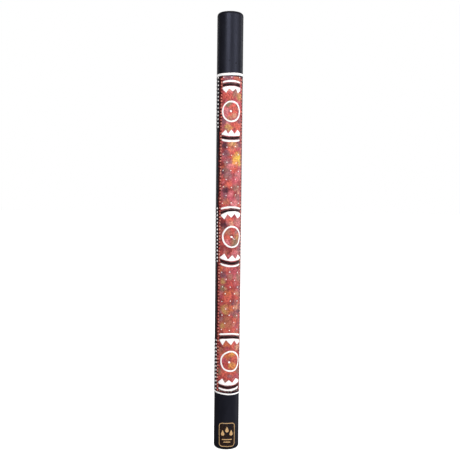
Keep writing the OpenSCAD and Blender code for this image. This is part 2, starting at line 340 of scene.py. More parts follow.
def revolve(profile, turns, relief=0, seed=0):
    """Closed surface of revolution of (radius, z) points that start and end on the axis, with faint waves."""
    turn = np.arange(turns) * 2 * np.pi / turns
    rows = np.array([[(r * math.sin(a), -r * math.cos(a), z) for a in turn] for r, z in profile[1:-1]])
    if relief:
        broad, fine = noise(rows * (1, 1, 0.25), 14, seed), noise(rows * (1, 1, 0.1), 4, seed + 1)
        wave = relief * broad + 0.4 * relief * fine
        rows[..., :2] *= 1 + (wave / np.hypot(rows[..., 0], rows[..., 1]).clip(1))[..., None]
    points = np.vstack([rows.reshape(-1, 3), [(0, 0, profile[0][1]), (0, 0, profile[-1][1])]])
    return points, capped_faces(len(rows), turns), np.ones(len(points))


def new_object(name, data):
    """An object of the scene for a mesh, a light or a camera."""
    made = bpy.data.objects.new(name, data)
    bpy.context.scene.collection.objects.link(made)
    return made


def make_piece(name, parts, material, replaces=(), body="stick", colours=None, keep_winding=False):
    """One object from a list of parts, riding on a body and standing for the CAD nodes it replaces."""
    points, faces, depth, first = [], [], [], 0
    for part_points, part_faces, part_depth in parts:
        points.append(part_points)
        faces += [tuple(i + first for i in face) for face in part_faces]
        depth.append(part_depth)
        first += len(part_points)
    mesh = bpy.data.meshes.new(name)
    mesh.from_pydata((np.vstack(points) * MM).tolist(), [], faces)
    if not keep_winding:
        shell = bmesh.new()
        shell.from_mesh(mesh)
        bmesh.ops.recalc_face_normals(shell, faces=shell.faces)
        shell.to_mesh(mesh)
        shell.free()
    mesh.attributes.new("depth", "FLOAT", "POINT").data.foreach_set("value", np.concatenate(depth))
    for attribute, values in (colours or {}).items():
        mesh.attributes.new(attribute, "FLOAT_COLOR", "POINT").data.foreach_set("color", values.ravel())
    mesh.shade_smooth()
    mesh.materials.append(material)
    piece = new_object(name, mesh)
    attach(piece, body)
    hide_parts(*replaces)


# ----- brushed outlines, in mm across and up from a motif's centre -----

def resample(loop, step):
    """A closed outline with points about step apart."""
    loop = np.vstack([loop, loop[:1]])
    run = np.concatenate([[0], np.cumsum(np.hypot(*np.diff(loop, axis=0).T))])
    at = np.linspace(0, run[-1], max(8, round(run[-1] / step)), endpoint=False)
    return xy(np.interp(at, run, loop[:, 0]), np.interp(at, run, loop[:, 1]))


def soften(loop, times):
    """A closed outline with its corners rounded."""
    for _ in range(times):
        ahead = np.roll(loop, -1, axis=0)
        loop = np.stack([0.75 * loop + 0.25 * ahead, 0.25 * loop + 0.75 * ahead], 1).reshape(-1, 2)
    return loop


def by_hand(loop, seed, amount=0.3):
    """An outline with the small errors of a brush held by hand."""
    slow = shake(loop, 9, seed, seed + 50)
    quick = shake(loop, 2.5, seed + 1, seed + 51)
    return loop + amount * (slow + 0.5 * quick)


def curve(ends):
    """The parabola through a line's left end, a point near its middle and its right end."""
    across, up = np.array(ends, float).T
    return np.poly1d(np.polyfit(across, up, 2))


def stroke(ends, width, seed, shift=0.0):
    """Outline of a brush stroke with round ends, along the curve through three points; shift moves it up."""
    left, right = ends[0][0], ends[-1][0]
    q = np.sin(np.linspace(-np.pi / 2, np.pi / 2, 60))
    s = (left + right) / 2 + (right - left) / 2 * q
    thick = width * np.sqrt(np.clip(1 - np.abs(q) ** 14, 0, 1))
    thick = thick * (1 + 0.14 * noise_flat(xy(s, 0 * s), 7, seed))
    middle = curve(ends)(s) + shift
    upper = xy(s, middle + thick / 2)
    lower = xy(s, middle - thick / 2)[-2:0:-1]
    return by_hand(resample(np.vstack([upper, lower]), 0.8), seed + 2, 0.25)


def toothed(edge, inner, seed):
    """Outline of a bowed band: edge is its smooth side, and inner runs along its teeth from left to right."""
    s = np.linspace(edge[0][0], edge[-1][0], 30)
    smooth = xy(s, curve(edge)(s))
    loop = resample(np.vstack([smooth, inner[::-1]]), 1.3)
    return by_hand(resample(soften(loop, 2), 0.8), seed, 0.3)


def hoop(centre, half_wide, half_tall, seed):
    """Outer and inner outline of a circle painted by hand."""
    rng = np.random.default_rng(seed)
    turn = np.arange(150) * 2 * np.pi / 150

    def waves(low, high, counts):
        return sum(rng.uniform(low, high) * np.cos(k * turn + rng.uniform(0, 6)) for k in counts)

    r, thick = 1 + waves(0.002, 0.010, (3, 4, 5)), HOOP_W + waves(0.1, 0.25, (1, 3, 7))
    outer = xy(half_wide * r * np.cos(turn), half_tall * r * np.sin(turn))
    length = np.hypot(*outer.T)[:, None]
    return [outer + centre, (outer * (1 - thick[:, None] / length))[::-1] + centre]


# Hand-painted lines of each motif, from the lowest up, in mm across from the panel's middle and up from
# the motif's centre. Each half, the upper one first, has its white arc, dark arc, smooth edge of the band
# and teeth. A line is its left end, a point near its middle and its right end; teeth run from left to right.
MOTIF_LINES = [
    {"hoop": ((2.2, 0.2), 24.8, 24.8), "dot": (-1.4, -1.6), "halves": [
        ([(-27, 62.3), (0, 64.8), (29, 59.8)], [(-26, 55.3), (0, 57.8), (29, 52.8)],
         [(-25, 51), (0, 53.7), (29, 49)],
         [(-25.5, 49.5), (-17, 38), (-9.5, 50.5), (2.5, 38.5), (10.5, 49), (19, 38.5), (29, 44)]),
        ([(-27, -63), (0, -67), (26, -62)], [(-27, -56.8), (0, -61.2), (27, -55.8)],
         [(-27, -52.5), (0, -56), (28, -50)],
         [(-28, -48.5), (-17, -40), (-10.5, -50), (-2, -43), (6, -50), (16, -40), (28, -46.5)])]},
    {"hoop": ((2.2, 1), 23.6, 25.5), "dot": (0.9, 0.8), "halves": [
        ([(-25.5, 65.5), (3, 69.5), (27, 66)], [(-26, 56.5), (2, 63), (26, 61)],
         [(-24.5, 52), (6, 60.5), (27, 55)],
         [(-25.5, 50), (-15.5, 41), (-9, 53), (0, 45), (8, 54), (16, 43.5), (27, 50)]),
        ([(-25.5, -61), (2, -67), (25.5, -62.5)], [(-26, -54), (2, -60.5), (28, -55)],
         [(-27, -48.5), (2, -55), (28, -49.5)],
         [(-27, -47), (-15, -37.5), (-7, -51.5), (3.5, -41), (11.5, -50.5), (18.5, -40),
          (28, -46)])]},
    {"hoop": ((-2, 0), 22.8, 24.6), "dot": (-3.5, 0.4), "halves": [
        ([(-24, 66.5), (2, 69), (21, 66.5)], [(-24, 59.5), (0, 62), (21, 59.5)],
         [(-24, 54.5), (0, 58), (21, 54.5)],
         [(-23.5, 50.5), (-14.5, 42), (-8, 52), (-1, 45), (8, 52), (12.5, 41.5), (21, 48)]),
        ([(-25, -64.5), (-1, -68), (21, -64.5)], [(-25.5, -59), (-2, -61.5), (21, -58.5)],
         [(-25.5, -53), (-2, -56.5), (21, -54.5)],
         [(-25, -50), (-14, -42), (-9.5, -51.5), (-2, -42), (6, -51), (13, -41), (21, -47.5)])]},
]


# ----- materials -----

def paint(code):
    """Linear colour from a hex code as seen on a screen."""
    values = [int(code[i:i + 2], 16) / 255 for i in (0, 2, 4)]
    return [v / 12.92 if v <= 0.04045 else ((v + 0.055) / 1.055) ** 2.4 for v in values] + [1.0]


# Most of a noise node's values lie in this range
NOISE_SPAN = 0.3, 0.7


class Nodes:
    """A node tree, with short names for the nodes that it is made of. A colour may be given as a hex code."""

    def __init__(self, tree):
        self.tree = tree

    def add(self, kind, inputs=(), **settings):
        """A new node; inputs maps an input's name or number to a value or to another node's output."""
        node = self.tree.nodes.new("ShaderNode" + kind)
        for key, value in settings.items():
            setattr(node, key, value)
        for key, value in dict(inputs).items():
            self.put(node.inputs[key], value)
        return node

    def put(self, socket, value):
        if isinstance(value, bpy.types.NodeSocket):
            self.tree.links.new(value, socket)
        else:
            socket.default_value = paint(value) if isinstance(value, str) else value

    def math(self, operation, a, b=0.0):
        return self.add("Math", {0: a, 1: b}, operation=operation).outputs[0]

    def mix(self, share, a, b, blend="MIX"):
        return self.add("Mix", {0: share, 6: a, 7: b}, data_type="RGBA", blend_type=blend).outputs[2]

    def times(self, a, b):
        return self.math("MULTIPLY", a, b)

    def spread(self, value, low, high, to_low=0.0, to_high=1.0):
        """A value taken from the range low to high into another range, smoothly and clamped."""
        numbers = {"Value": value, "From Min": low, "From Max": high, "To Min": to_low, "To Max": to_high}
        return self.add("MapRange", numbers, interpolation_type="SMOOTHSTEP").outputs[0]


class Finish(Nodes):
    """A material whose noises are laid out over the object, in mm."""

    def __init__(self, name):
        self.material = bpy.data.materials.new(name)
        self.material.use_nodes = True
        super().__init__(self.material.node_tree)
        self.surface = self.tree.nodes["Principled BSDF"]
        self.place = self.add("TexCoord").outputs["Object"]

    def noise(self, size, detail=3, stretch=(1, 1, 1), seed=0.0):
        """Noise from 0 to 1 with features about size mm across, drawn out by stretch along each axis."""
        scale = [1 / (MM * size * s) for s in stretch]
        spot = self.add("Mapping", {"Vector": self.place, "Location": (seed, seed, seed), "Scale": scale})
        return self.add("TexNoise", {"Vector": spot.outputs[0], "Scale": 1.0, "Detail": detail}).outputs[0]

    def shades(self, value, one, two):
        """Colour that goes from one to the other as a noise goes through its range."""
        return self.mix(self.spread(value, *NOISE_SPAN), one, two)

    def rough(self, value, low, high):
        """Roughness that goes from low to high as a noise goes through its range."""
        return self.spread(value, *NOISE_SPAN, low, high)

    def attribute(self, name, output="Fac"):
        return self.add("Attribute", attribute_name=name).outputs[output]

    def height(self):
        """Height up the stick, in mm."""
        z = self.add("SeparateXYZ", {0: self.place}).outputs[2]
        return self.math("DIVIDE", z, MM)

    def bump(self, value, depth, strength=1.0, under=None):
        """A normal from a height map, where depth is its height in mm."""
        inputs = {"Height": value, "Distance": depth * MM, "Strength": strength}
        if under is not None:
            inputs["Normal"] = under
        return self.add("Bump", inputs).outputs[0]

    def done(self, colour, rough, normal=None, **others):
        """The finished material; others are further inputs of the surface, by name."""
        inputs = {"Base Color": colour, "Roughness": rough, **others}
        if normal is not None:
            inputs["Normal"] = normal
        for name, value in inputs.items():
            self.put(self.surface.inputs[name.replace("_", " ")], value)
        return self.material


def lacquer():
    """Satin black lacquer over bamboo: faint fibres below, dust-fine grain, and scuffs near both rims."""
    f = Finish("black_lacquer")
    fibre = f.noise(0.9, 3, (1, 1, 60))
    grain = f.noise(0.25, 2)
    cloud = f.noise(28, 3, (1, 1, 3))
    scuff = f.spread(f.noise(1.6, 4, (1, 1, 2.5), 3.0), 0.60, 0.74)
    from_end = f.math("MINIMUM", f.height(), f.math("SUBTRACT", LENGTH, f.height()))
    worn = f.times(scuff, f.spread(from_end, 1, 9, 1, 0))
    colour = f.shades(cloud, "131319", "1A1A21")
    colour = f.mix(f.times(worn, 0.5), colour, "5A5046")
    rough = f.math("ADD", f.spread(cloud, 0.25, 0.75, 0.38, 0.46), f.rough(fibre, -0.02, 0.03))
    rough = f.math("ADD", rough, f.times(worn, 0.25))
    normal = f.bump(fibre, 0.05, 0.25)
    normal = f.bump(grain, 0.01, 0.3, normal)
    return f.done(colour, rough, normal, Specular_IOR_Level=0.42, Specular_Tint="D6DCFF")


def sealed_pin():
    """Dull black filler over the outer end of a pin."""
    f = Finish("sealed_pin")
    grain = f.noise(0.6)
    colour = f.shades(grain, "0C0C10", "17171C")
    return f.done(colour, 0.7, f.bump(grain, 0.05, 0.5), Specular_IOR_Level=0.15)


def sponged():
    """Sponged panel paint: the dabs are laid out on the mesh, and pores let the coat below show through."""
    f = Finish("sponged_paint")
    dabs = f.attribute("dabs", "Color")
    under = f.attribute("under", "Color")
    pores = f.spread(f.noise(2.6, 4), 0.52, 0.60)
    pits = f.spread(f.noise(1.2, seed=5.0), 0.58, 0.66)
    colour = f.mix(f.times(pores, 0.7), dabs, under)
    colour = f.mix(f.times(pits, 0.4), colour, "3A1A22")
    tone = f.spread(f.noise(3.4, seed=9.0), 0.32, 0.68, 0.66, 1.2)
    colour = f.mix(1.0, colour, f.add("CombineColor", {0: tone, 1: tone, 2: tone}).outputs[0], "MULTIPLY")
    stipple = f.noise(0.8, seed=2.0)
    rough = f.rough(stipple, 0.52, 0.68)
    normal = f.bump(stipple, 0.12, 0.5)
    return f.done(colour, rough, normal, Specular_IOR_Level=0.2)


def thick_white():
    """Thick white paint: cream where it is thin, with brush drag and the odd speck."""
    f = Finish("thick_white_paint")
    thin = f.spread(f.attribute("depth"), 0.05, 0.75, 1, 0)
    cloud = f.noise(3.5)
    colour = f.shades(cloud, "F5F3F3", "FCFBFB")
    colour = f.mix(f.times(thin, 0.45), colour, "E4C6C2")
    speck = f.spread(f.noise(0.8, 2, seed=4.0), 0.70, 0.76)
    colour = f.mix(f.times(speck, 0.35), colour, "A89484")
    drag = f.noise(0.5, 2, (3, 3, 1), 1.0)
    normal = f.bump(drag, 0.06, 0.35)
    return f.done(colour, f.rough(cloud, 0.38, 0.5), normal)


def dark_wash():
    """Thin plum-brown wash under the dark arcs, with the red below showing through."""
    f = Finish("dark_wash")
    streak = f.noise(1.3, 3, (7, 7, 1))
    patch = f.noise(4, seed=2.0)
    colour = f.mix(f.spread(streak, 0.3, 0.65), "4A2027", "6E3A40")
    colour = f.mix(f.spread(patch, 0.45, 0.65, 0, 0.6), colour, "7A5850")
    return f.done(colour, f.rough(streak, 0.45, 0.6), f.bump(streak, 0.06, 0.4))


def dark_brushed():
    """Near-black brush strokes, brown where the paint is thin."""
    f = Finish("dark_brushed_paint")
    streak = f.noise(1.1, 3, (9, 9, 1))
    thin = f.times(f.spread(f.attribute("depth"), 0.1, 0.9, 1, 0), f.spread(streak, 0.35, 0.6))
    colour = f.mix(thin, "1A070C", "4A1C24")
    colour = f.mix(f.spread(f.noise(5, seed=2.0), 0.48, 0.62, 0, 0.75), colour, "4A2228")
    normal = f.bump(streak, 0.08, 0.4)
    return f.done(colour, f.rough(streak, 0.45, 0.6), normal, Specular_IOR_Level=0.15)


def maroon():
    """Dark red border paint with long brush streaks and thin places."""
    f = Finish("maroon_paint")
    streak = f.noise(0.9, 3, (1, 1, 14))
    patchy = f.spread(f.noise(4, 3, (1, 1, 2), 3.0), 0.5, 0.7)
    colour = f.shades(streak, "2A0709", "4A0F10")
    colour = f.mix(patchy, colour, "8A2A26")
    normal = f.bump(streak, 0.06, 0.4)
    return f.done(colour, f.rough(streak, 0.5, 0.65), normal, Specular_IOR_Level=0.2)


def salmon():
    """Salmon beads, each a little different in tone."""
    f = Finish("salmon_paint")
    tone = f.spread(f.noise(9, 1), 0.35, 0.65)
    colour = f.mix(tone, "B8504A", "E08C7C")
    rim = f.spread(f.attribute("depth"), 0.0, 0.6, 0.6, 0)
    colour = f.mix(rim, colour, "6E2220")
    drag = f.noise(0.5, 2)
    return f.done(colour, f.rough(drag, 0.36, 0.5), f.bump(drag, 0.05, 0.4))


def gold_leaf():
    """Gold foil of the label, rubbed in places."""
    f = Finish("gold_foil")
    rub = f.noise(1.2)
    colour = f.mix(f.spread(rub, 0.35, 0.7), "EBC28C", "C79C66")
    return f.done(colour, f.rough(rub, 0.3, 0.5), f.bump(rub, 0.02, 0.4), Metallic=0.2)


def label_film():
    """Dark brown film under the gold of the label."""
    f = Finish("label_film")
    cloud = f.noise(2.5)
    colour = f.shades(cloud, "1F130D", "33211A")
    return f.done(colour, f.rough(cloud, 0.25, 0.36), f.bump(cloud, 0.02, 0.3))


def bamboo():
    """Bare bamboo: straight fibres with darker flecks."""
    f = Finish("bare_bamboo")
    fibre = f.noise(0.7, 4, (1, 1, 70))
    fleck = f.spread(f.noise(1.1, 2, (1, 1, 9), 2.0), 0.62, 0.72)
    colour = f.shades(fibre, "B98F55", "DDBE86")
    colour = f.mix(f.times(fleck, 0.6), colour, "7A5328")
    return f.done(colour, f.rough(fibre, 0.5, 0.7), f.bump(fibre, 0.12, 0.5))


def turned_wood():
    """Wood of the plugs: rings round the axis, crossed by fine pores."""
    f = Finish("turned_wood")
    flat = f.add("Mapping", {"Vector": f.place, "Scale": (1 / MM, 1 / MM, 0.05 / MM)}).outputs[0]
    rings = f.add("TexWave", {"Vector": flat, "Scale": 0.35, "Distortion": 3.0, "Detail": 2.0},
                  wave_type="RINGS", rings_direction="Z").outputs["Fac"]
    pores = f.noise(0.5, 3, (1, 1, 8))
    colour = f.mix(rings, "A9814E", "C9A66E")
    colour = f.mix(f.spread(pores, 0.58, 0.72, 0, 0.6), colour, "6F4C28")
    return f.done(colour, f.rough(pores, 0.55, 0.7), f.bump(pores, 0.1, 0.5))


def pin_wood():
    """Split slivers that the pins are whittled from."""
    f = Finish("pin_wood")
    fibre = f.noise(0.4, 3, (6, 6, 1))
    colour = f.shades(fibre, "C29A60", "E6CFA0")
    return f.done(colour, f.rough(fibre, 0.5, 0.7), f.bump(fibre, 0.06, 0.5))


def stone(name, dark, light, fleck):
    """Water-worn grains, each of its own shade, with small flecks."""
    f = Finish(name)
    shade = f.spread(f.noise(6, 1), 0.35, 0.65)
    speck = f.spread(f.noise(0.5, seed=3.0), 0.58, 0.68)
    colour = f.mix(shade, dark, light)
    colour = f.mix(f.times(speck, 0.6), colour, fleck)
    pitted = f.noise(0.6, seed=6.0)
    return f.done(colour, f.rough(pitted, 0.45, 0.7), f.bump(pitted, 0.08, 0.5))


LACQUER = lacquer()
WHITE = thick_white()


# ----- colours of the sponged panels -----

COLOURS = dict(
    red="C0504A", coral="D46454", orange="CE7046", amber="E8A453", yellow="EAC64C", gold="C0925A",
    peach="D6987C", pink="D07C80", rose="BA5460", plum="805460", ink="4C2A39", mauve="97686C",
    taupe="A07264", olive="84755A", rust="B26A52", maroon="86312F", sage="8E9888",
)

# Large dabs near each motif, from the lowest motif up: across and up from its centre, radius, colour
MOTIF_DABS = [
    [(-10, 42, 9, "orange"), (8, 37, 7, "coral"), (-24, 25, 8, "rust"), (-8, 29, 6, "rose"),
     (20, 33, 7, "peach"), (-8, 14, 10, "orange"), (6, 16, 7, "amber"), (-15, 2, 7, "rose"),
     (8, 4, 9, "coral"), (-9, -8, 8, "red"), (6, -12, 9, "amber"), (-26, -26, 7, "olive"),
     (-13, -27, 9, "coral"), (5, -28, 9, "coral"), (-1, -35, 5, "mauve"), (-25, -38, 6, "red"),
     (17, -35, 7, "rose"), (0, -68, 12, "ink"), (-22, -64, 7, "ink"), (20, -64, 7, "ink")],
    [(-20, 40, 7, "maroon"), (-5, 40, 8, "coral"), (19, 32, 8, "pink"), (0, 31, 6, "peach"),
     (-18, 27, 9, "ink"), (3, 16, 9, "red"), (-9, 10, 9, "taupe"), (14, 12, 5, "mauve"), (14, 0, 6, "gold"),
     (-10, -1, 8, "coral"), (-9, -12, 7, "pink"), (0, -9, 6, "rose"), (8, -13, 9, "olive"),
     (-25, -15, 6, "red"), (-17, -27, 8, "maroon"), (-4, -30, 8, "maroon"), (-12, -36, 6, "rust"),
     (11, -36, 8, "pink"), (23, -24, 8, "plum")],
    [(-20, 35, 8, "red"), (-6, 38, 10, "coral"), (-4, 47, 5, "pink"), (9, 40, 7, "taupe"),
     (21, 34, 8, "gold"), (23, 15, 7, "rose"), (-6, 16, 7, "olive"), (5, 10, 8, "coral"),
     (-12, 0, 8, "pink"), (8, 0, 7, "coral"), (0, -8, 6, "coral"), (9, -9, 6, "peach"),
     (-4, -17, 6, "gold"), (-18, -23, 8, "plum"), (-10, -27, 4, "pink"), (18, -21, 8, "plum"),
     (-6, -37, 8, "gold"), (5, -29, 7, "red"), (15, -34, 8, "coral"), (-21, -42, 7, "red"),
     (-8, 76, 9, "plum"), (-24, 76, 6, "red"), (15, 76, 8, "rust")],
]

# Large dabs of the two fields between the motifs: across and up from the middle of the panel's foot, radius,
# colour
FIELD_DABS = [
    (0, 576, 9, "gold"), (-17, 572, 8, "ink"), (18, 574, 7, "plum"), (0, 561, 9, "coral"),
    (9, 558, 7, "red"), (19, 562, 6, "rose"), (-13, 554, 8, "plum"), (-2, 547, 6, "red"),
    (15, 546, 11, "yellow"), (8, 535, 8, "amber"), (20, 532, 6, "yellow"), (-8, 536, 8, "mauve"),
    (-4, 524, 7, "pink"), (4, 519, 8, "coral"), (-18, 515, 7, "ink"), (-8, 505, 9, "mauve"),
    (18, 507, 9, "pink"), (-23, 496, 7, "red"), (8, 491, 11, "rose"), (-6, 484, 8, "coral"),
    (12, 476, 9, "taupe"), (-14, 470, 8, "ink"), (-3, 461, 6, "pink"), (-17, 457, 8, "plum"),
    (1, 451, 9, "rose"), (17, 453, 7, "mauve"), (-12, 444, 7, "rust"), (8, 440, 8, "pink"),
    (-24, 289, 7, "orange"), (-12, 290, 8, "coral"), (9, 282, 11, "rose"), (-18, 273, 8, "plum"),
    (-2, 270, 7, "taupe"), (21, 269, 8, "taupe"), (-18, 260, 7, "gold"), (1, 255, 8, "red"),
    (23, 245, 7, "plum"), (-17, 243, 7, "olive"), (-7, 231, 8, "orange"), (16, 231, 7, "peach"),
    (-7, 218, 10, "coral"), (-24, 224, 6, "rose"), (13, 221, 7, "red"), (12, 210, 7, "plum"),
    (-14, 197, 9, "gold"), (-10, 189, 7, "gold"), (0, 195, 9, "orange"), (15, 199, 7, "peach"),
    (21, 189, 6, "plum"), (-23, 170, 7, "mauve"), (14, 176, 7, "taupe"), (-8, 170, 9, "rust"),
    (11, 167, 7, "coral"), (-18, 155, 7, "gold"), (-3, 156, 9, "rust"), (18, 153, 8, "rose"),
    (-10, 143, 7, "coral"), (8, 143, 8, "coral"), (-22, 141, 6, "maroon"),
]

# The dark foot of a panel, and pale dots along it
FOOT_SHADE = "2A1A1E"
FOOT_DABS = [(across, PANEL[0] + 3.5, 1.9, "sage") for across in (-24, -17.5, -12, -3, 4, 12.5, 20)]

# Small dabs: how many lie under the large ones and how many of them are repeated on top, their reach to
# either side, and the colours that prevail near the foot and near the top of a panel
SMALL_DABS, REPEATED = 650, 200
SMALL_REACH = 27
WARM = "red coral rose plum mauve rust orange taupe red ink pink coral".split()
COOL = "rose pink mauve plum coral mauve pink taupe red ink peach rose".split()


def large_dabs(flip):
    """The large dabs of a panel as (across, height, radius, colour); flip turns the layout end for end."""
    dabs = [(across, up + PANEL[0], size, colour) for across, up, size, colour in FIELD_DABS]
    for (turn, z0), near in zip(MOTIFS, MOTIF_DABS):
        shift = math.radians(turn - FRONT) * float(surface_r(z0))
        dabs += [(across + shift, up + z0, size, colour) for across, up, size, colour in near]
    if flip:
        dabs = [(-across, PANEL[0] + PANEL[1] - z, size, colour) for across, z, size, colour in dabs]
    return dabs


def rgb(code):
    """Red, green and blue of a hex code, as an array."""
    return np.array(paint(code)[:3])


def sponge(flat, flip):
    """Colour of the top dabs and of the coat under them at each point across and up a panel."""
    seed = 200 if flip else 100
    rng = np.random.default_rng(seed)
    dark, warm_coat, cool_coat = (rgb(COLOURS[name]) for name in ("maroon", "red", "rose"))
    up = ((flat[..., 1] - PANEL[0]) / (PANEL[1] - PANEL[0]))[..., None]
    share = np.clip(0.5 + 0.7 * noise_flat(flat, 9, seed), 0, 1)[..., None]
    under = dark * (1 - share) + (warm_coat * (1 - up) + cool_coat * up) * share
    wavy = flat + 1.8 * shake(flat, 6, seed + 1, seed + 2)
    wavy += shake(flat, 2.5, seed + 3, seed + 4)
    low, high = PANEL
    small = []
    for _ in range(SMALL_DABS):
        z = rng.uniform(low, high)
        names = COOL if rng.uniform(low, high) < z else WARM
        across, size = rng.uniform(-SMALL_REACH, SMALL_REACH), rng.uniform(2.5, 5)
        small.append((across, z, size, names[rng.integers(len(names))]))
    top = under.copy()
    shade = np.clip((low + 7 - wavy[..., 1]) / 3, 0, 0.85)[..., None]
    layers = (small, 0.7), (large_dabs(flip), 0.92), (small[:REPEATED], 0.4), (FOOT_DABS, 0.8)
    for layer, strength in layers:
        if layer is FOOT_DABS:
            top = top * (1 - shade) + rgb(FOOT_SHADE) * shade
        for across, z, size, name in layer:
            away = np.hypot(wavy[..., 0] - across, wavy[..., 1] - z) / size
            cover = strength * np.clip((1.4 - away) / 0.8, 0, 1)[..., None]
            top = top * (1 - cover) + rgb(COLOURS[name]) * cover
    middle = MOTIFS[1][1]
    # Painted light and shade: every colour of the panel is darkened towards its foot and brightened towards
    # its top, from 70 mm below the middle motif to 100 mm above it
    top = top * np.interp(flat[..., 1], (middle - 70, middle + 100), (0.92, 1.09))[..., None]
    return top, 0.6 * under + 0.4 * top * (0.6, 0.5, 0.55)


# ----- pieces -----

def beside_panel(angle):
    """Angle from the middle of the nearer panel."""
    return (angle - FRONT + 90) % 180 - 90


def follow_edge(angle, z):
    """Angle of a bead, moved with the hand-masked edge of its panel."""
    offset = beside_panel(angle)
    return angle - offset + LEAN + offset * widen(z)


def nearer_panel(angle, z):
    """Angle of a column's dot, moved towards its panel, and more so at the foot of the middle column."""
    near = 1.6 * (1 - z / 1500)
    from_middle = z - MOTIFS[1][1]
    if abs(from_middle) < 80:
        near += 0.028 * (67 - from_middle)
    return angle - math.copysign(near, beside_panel(angle))


def coat_profile(height):
    """Outline, as (radius, z) from foot to top, of a skin that height covers the closed stick."""
    arc, r = np.linspace(0, np.pi / 2, 9), RIM_R + height
    low = [(BOTTOM_R - RIM_R + r * math.sin(a), RIM_R - r * math.cos(a)) for a in arc]
    high = [(TOP_R - RIM_R + r * math.cos(a), LENGTH - RIM_R + r * math.sin(a)) for a in arc]
    wall = [(surface_r(z) + height, z) for z in np.arange(RIM_R + 3, LENGTH - RIM_R - 2, 4)]
    foot = [(across, -height) for across in (0, 6, 12, 18)]
    roof = [(across, LENGTH + height) for across in (18, 12, 6, 0)]
    return foot + low + wall + high + roof


def lacquer_coat():
    outer = revolve(coat_profile(COAT), 192, 0.035, 11)
    points, faces, depth = revolve(coat_profile(0.02), 64)
    lining = points, [face[::-1] for face in faces], depth
    make_piece("black_lacquer_coat", [outer, lining], LACQUER, keep_winding=True)


def pin_marks():
    """Sealed pin ends that show as faint bumps in the lacquer, wherever no panel covers them."""
    parts = []
    for number, (low, high) in enumerate(solids("rattle_pins")):
        centre = (low + high) / 2
        angle, z = float(direction(centre)), float(centre[2])
        on_panel = PANEL[0] - 6 < z < PANEL[1] + 10 and abs(beside_panel(angle)) < 1.1 * BORDER_END
        if not on_panel:
            parts.append(dome(angle, z, 1.5, 0.14, COAT - 0.03, 500 + number))
    make_piece("pin_marks", parts, sealed_pin())


def ring_paint(name, span, margin, wander, seed):
    """A white ring laid on with a brush: rounded across, with slightly wavy edges that wander off the level.

    The ring stays margin inside the span, and wander(right) lifts it, where right is 1 at its right-hand
    side, 0 in front and behind, and -1 at its left."""
    turn = np.arange(0, 360, 1.25)
    here = wrap(turn, np.full(turn.shape, span[0]), 0)
    shift = wander(np.sin(np.radians(turn)))
    low = span[0] + margin + shift + 0.2 * noise(here, 11, seed)
    high = span[1] - margin + shift + 0.2 * noise(here, 11, seed + 1)
    q = np.sin(np.linspace(-np.pi / 2, np.pi / 2, 11))[:, None]
    z = (low + high) / 2 + q * (high - low) / 2
    thick = RAISED - 0.15 + 0.05 * noise(wrap(turn, z, 0), 5, seed + 2)
    swell = np.sqrt(np.clip(1 - np.abs(q) ** 3, 0, 1)) * thick
    points, faces, _ = sheet(turn, z, COAT + 0.05 + swell, COAT - 0.05, ring=True)
    depth = np.tile(np.repeat(np.sqrt(1 - q[:, 0] ** 2), len(turn)), 2)
    make_piece(name + "_paint", [(points, faces, depth)], WHITE, [name])


def panel_paint(side, middle, material):
    """The sponged skin of a panel, with the low relief that a sponge leaves."""
    half = PANEL_HALF - 0.1
    angle, z = np.meshgrid(np.linspace(-half, half, 61), np.linspace(PANEL[0], PANEL[1], 760))
    angle = LEAN + angle * widen(z)
    flat = xy(np.radians(angle) * MEAN_R, z)
    relief = 0.05 * noise_flat(flat, 2.2, 7) + 0.03 * noise_flat(flat, 1.4, 8)
    points, faces, depth = sheet(middle + angle, z, SKIN - 0.01 + relief, COAT + 0.01)
    dabs, under = sponge(flat, flip=side == "back")
    opaque = np.ones(len(points))
    colours = {name: np.column_stack([np.tile(c.reshape(-1, 3), (2, 1)), opaque])
               for name, c in (("dabs", dabs), ("under", under))}
    node = side + "_panel"
    make_piece(node + "_sponged", [(points, faces, depth)], material, [node], colours=colours)


def border_paint(side, middle, material):
    """The dark red lines down both sides of a panel; the outer edge wavers."""
    z = np.linspace(PANEL[0], PANEL[1], 360)
    parts = []
    for way in (-1, 1):
        here = xy(np.full(z.shape, way * 30.0), z)
        seed = 40 + way + (10 if side == "back" else 0)
        outer = BORDER_END + 3.6 + 0.8 * noise_flat(here, 14, seed) + 0.3 * noise_flat(here, 5, seed + 3)
        share = np.linspace(0, 1, 9)
        angle = way * ((PANEL_HALF + 0.05) * (1 - share) + outer[:, None] * share)
        height = z[:, None] + 0 * angle
        angle = middle + LEAN + angle * widen(height)
        swell = 0.16 * np.sqrt(np.clip(1 - np.abs(2 * share - 1) ** 6, 0, 1)) - 0.02
        parts.append(sheet(angle, height, COAT + 0.03 + swell, COAT - 0.03))
    make_piece(side + "_borders_paint", parts, material, [side + "_borders"])


def dots(node, drop, base, material, seed, settle=None):
    """Uneven drops of paint in place of the plain dots of a CAD node; settle(angle, z) corrects an angle."""
    radius, height, drift, tall = drop
    rng = np.random.default_rng(seed)
    parts = []
    for number, solid in enumerate(solids(node)):
        angle, z = middle_of(solid)
        if settle:
            angle = settle(angle, z)
        moved = rng.uniform(-drift, drift, 2)
        size, thick = radius * rng.uniform(0.88, 1.08), height * rng.uniform(0.85, 1.1)
        angle += math.degrees(moved[0] / MEAN_R)
        parts.append(dome(angle, z + moved[1], size, thick, base, seed * 1000 + number, tall))
    make_piece(node + "_paint", parts, material, [node])


